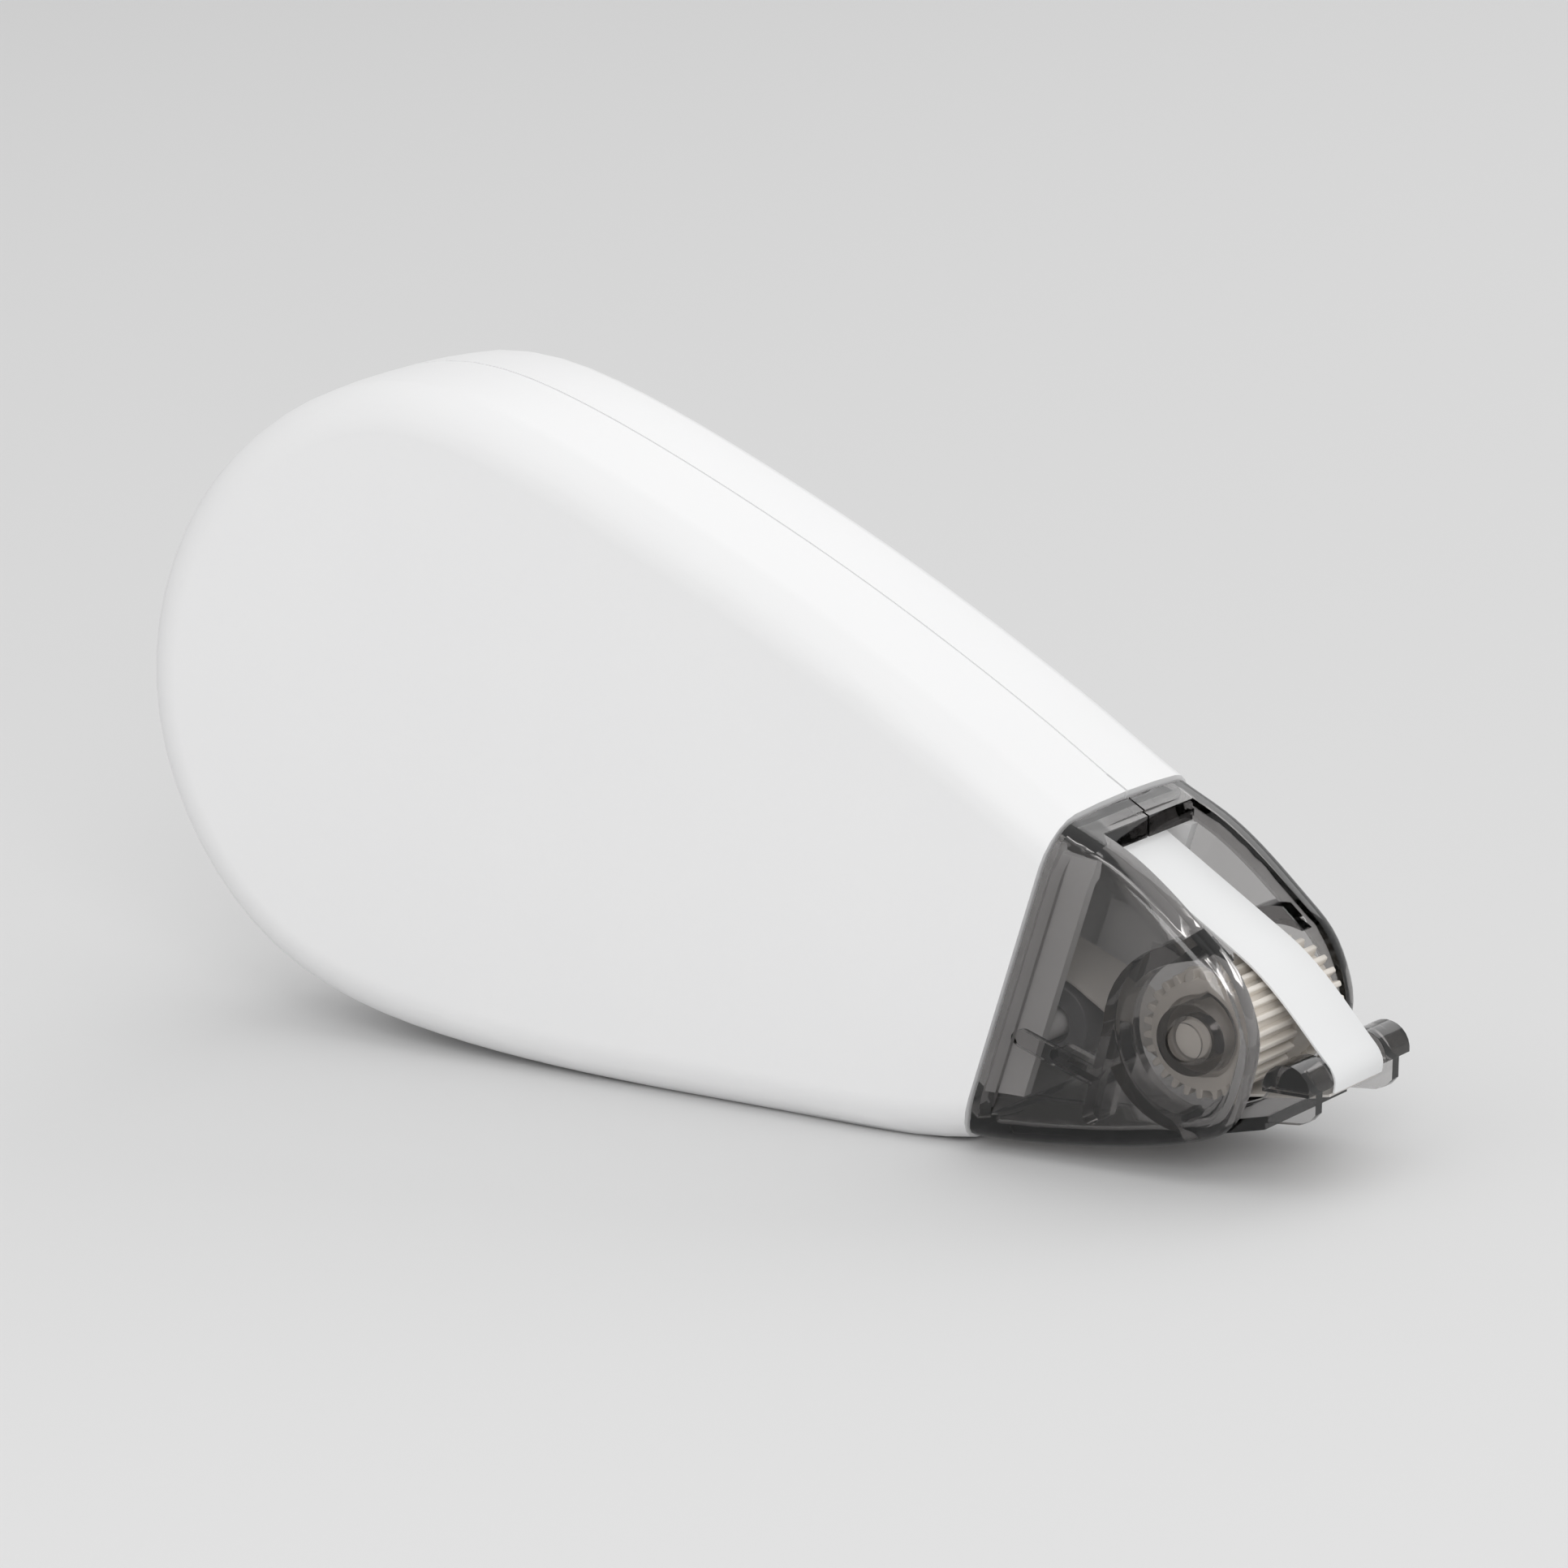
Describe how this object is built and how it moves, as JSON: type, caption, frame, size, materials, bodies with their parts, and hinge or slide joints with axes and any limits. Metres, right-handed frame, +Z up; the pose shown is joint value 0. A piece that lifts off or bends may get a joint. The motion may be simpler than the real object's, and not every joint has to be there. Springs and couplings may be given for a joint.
{
  "type": "correction tape",
  "caption": "Teardrop correction tape dispenser: two-part white case, smoke-clear nose with a toothed wheel, tape folded round an applicator tip, geared reels inside.",
  "frame": {"origin": "on the floor under the middle of the object's length, on the split plane between the case halves", "axes": "+X towards the applicator tip, +Y towards the right case half, +Z up from the standing edge"},
  "size_m": [0.0842, 0.0172, 0.0428],
  "materials": {
    "white_case": "satin moulded",
    "smoke_clear": "clear smoke-grey moulded",
    "cream_gear": "satin moulded",
    "grey_roller": "satin moulded",
    "clear_disc": "clear sheet",
    "white_tape": "matte coated film",
    "backing_film": "thin translucent film",
    "guide_steel": "drawn wire"
  },
  "bodies": {
    "left_half": {"left_case": "white_case", "left_nose": "smoke_clear", "applicator_head": "smoke_clear", "feed_guide_pin": "guide_steel", "tape_feed": "white_tape", "tape_return": "backing_film", "supply_cap": "cream_gear", "take_up_clip": "cream_gear"},
    "right_half": {"right_case": "white_case", "right_nose": "smoke_clear"},
    "supply": {"supply_reel": "white_case", "supply_tape": "white_tape", "supply_cover": "clear_disc"},
    "supply_drive": {"supply_gear": "cream_gear", "clutch_spring": "guide_steel"},
    "take_up": {"take_up_gear": "cream_gear", "take_up_reel": "white_case", "take_up_film": "backing_film", "take_up_flange": "clear_disc"},
    "winder": {"winder_gear": "cream_gear"},
    "roller": {"return_roller": "grey_roller"},
    "pawl": {"back_stop_pawl": "grey_roller"}
  },
  "joints": [
    {"name": "halves_part", "type": "slide", "parent": "left_half", "child": "right_half", "axis": [0, 1, 0], "range_m": [0, 0.025]},
    {"name": "supply_spin", "type": "hinge", "parent": "left_half", "child": "supply", "pos_m": [-0.0205, 0, 0.021], "axis": [0, 1, 0], "continuous": true},
    {"name": "supply_gear_spin", "type": "hinge", "parent": "left_half", "child": "supply_drive", "pos_m": [-0.0205, 0, 0.021], "axis": [0, 1, 0], "continuous": true},
    {"name": "take_up_spin", "type": "hinge", "parent": "left_half", "child": "take_up", "pos_m": [0.00262, 0, 0.0115], "axis": [0, 1, 0], "continuous": true},
    {"name": "winder_spin", "type": "hinge", "parent": "left_half", "child": "winder", "pos_m": [0.0343, 0, 0.00884], "axis": [0, 1, 0], "continuous": true},
    {"name": "roller_spin", "type": "hinge", "parent": "left_half", "child": "roller", "pos_m": [0.0229, 0, 0.0075], "axis": [0, 1, 0], "continuous": true},
    {"name": "pawl_swing", "type": "hinge", "parent": "right_half", "child": "pawl", "pos_m": [0.02838, 0, 0.00669], "axis": [0, -1, 0], "range_deg": [0, 10], "stiffness_Nm_per_rad": 0.0000001, "springref_deg": -5.73}
  ],
  "couplings": [
    {"joint": "supply_gear_spin", "follows": "supply_spin", "ratio": 1},
    {"joint": "take_up_spin", "follows": "supply_spin", "ratio": -2.125},
    {"joint": "winder_spin", "follows": "supply_spin", "ratio": 3.54},
    {"joint": "roller_spin", "follows": "supply_spin", "ratio": -5.52}
  ]
}
